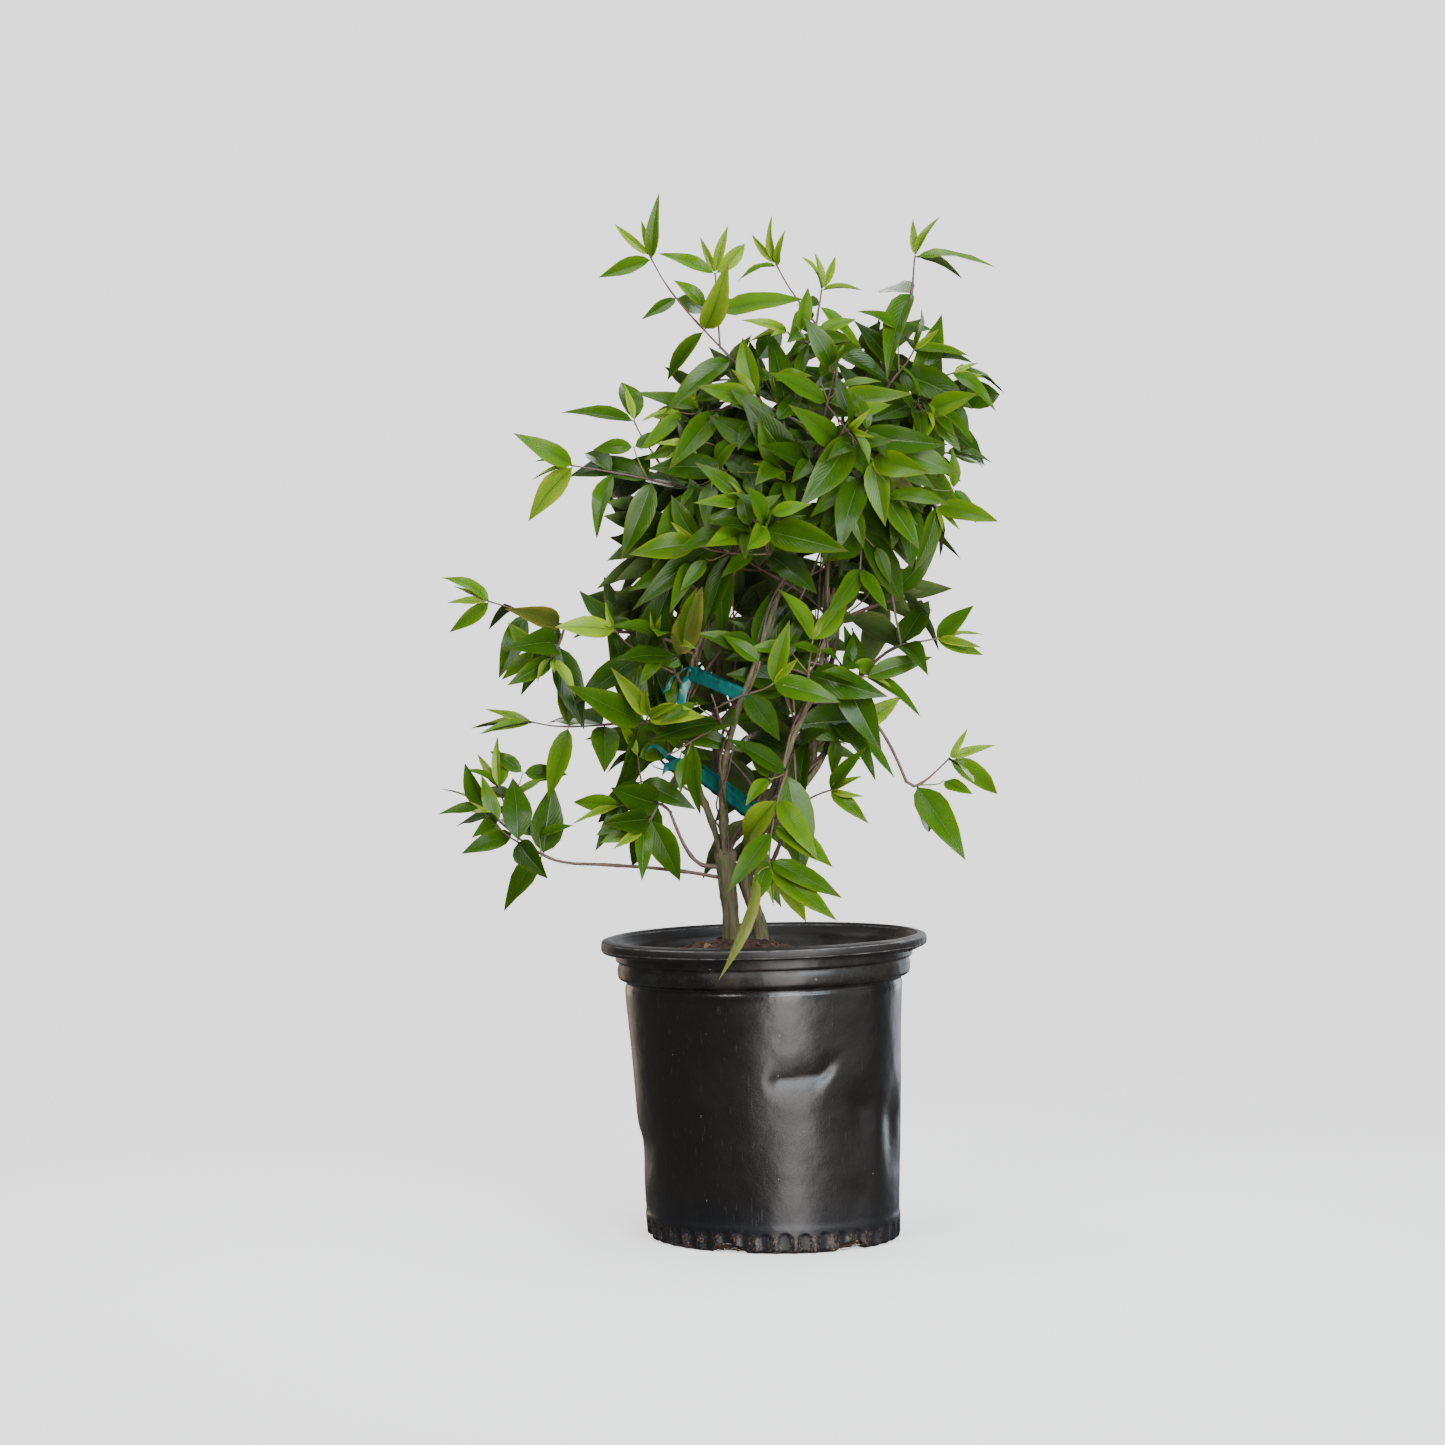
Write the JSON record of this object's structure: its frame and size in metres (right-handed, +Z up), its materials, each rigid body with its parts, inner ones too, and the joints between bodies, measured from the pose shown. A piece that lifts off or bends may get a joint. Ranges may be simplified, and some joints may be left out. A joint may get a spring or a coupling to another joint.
{
  "type": "potted carolina jessamine",
  "caption": "Twining evergreen vine with glossy lance-shaped leaves and bare woody stems, growing in a soft black round nursery pot filled with bark mix.",
  "frame": {"origin": "centre of the pot's flat underside", "axes": "+Z up along the plant, -Y towards the front as pictured, +X to the right of the front view"},
  "size_m": [0.4721, 0.381, 0.8642],
  "materials": {
    "pot_plastic": "satin, softly dented, dusty",
    "soil_mix": "loose bark and peat mix, matte",
    "bark": "fissured bark, matte",
    "leaf": "soft gloss above, paler and matte below",
    "tape": "thin garden tape, satin"
  },
  "bodies": {
    "root": {"bough_far_left": "bark", "bough_left": "bark", "bough_low_left": "bark", "bough_low_right": "bark", "bough_right": "bark", "bough_right_hanging": "bark", "bough_right_stub": "bark", "bough_top_right": "bark", "crown_a0": "leaf", "crown_a1": "leaf", "crown_a2": "leaf", "crown_a3": "leaf", "crown_b0": "leaf", "crown_b1": "leaf", "crown_b2": "leaf", "crown_b4": "leaf", "crown_c0": "leaf", "crown_c1": "leaf", "crown_c2": "leaf", "crown_c3": "leaf", "crown_c4": "leaf", "crown_d0": "leaf", "crown_d1": "leaf", "crown_d2": "leaf", "crown_d3": "leaf", "crown_e0": "leaf", "crown_e1": "leaf", "crown_e2": "leaf", "crown_e3": "leaf", "leader_back_left": "bark", "leader_front": "bark", "leader_front_left": "bark", "leader_left": "bark", "leader_right": "bark", "leader_right_twin": "bark", "pot": "pot_plastic", "soil": "soil_mix", "spray_back": "leaf", "spray_back_low": "leaf", "spray_far_left": "leaf", "spray_left": "leaf", "spray_left_high": "leaf", "spray_left_low": "leaf", "spray_low_front": "leaf", "spray_low_left": "leaf", "spray_low_right": "leaf", "spray_right": "leaf", "spray_right_low": "leaf", "spray_top_centre": "leaf", "spray_top_left": "leaf", "spray_top_right": "leaf", "tie_low": "tape", "tie_mid": "tape", "trunk_left": "bark", "trunk_right": "bark"}
  },
  "joints": []
}
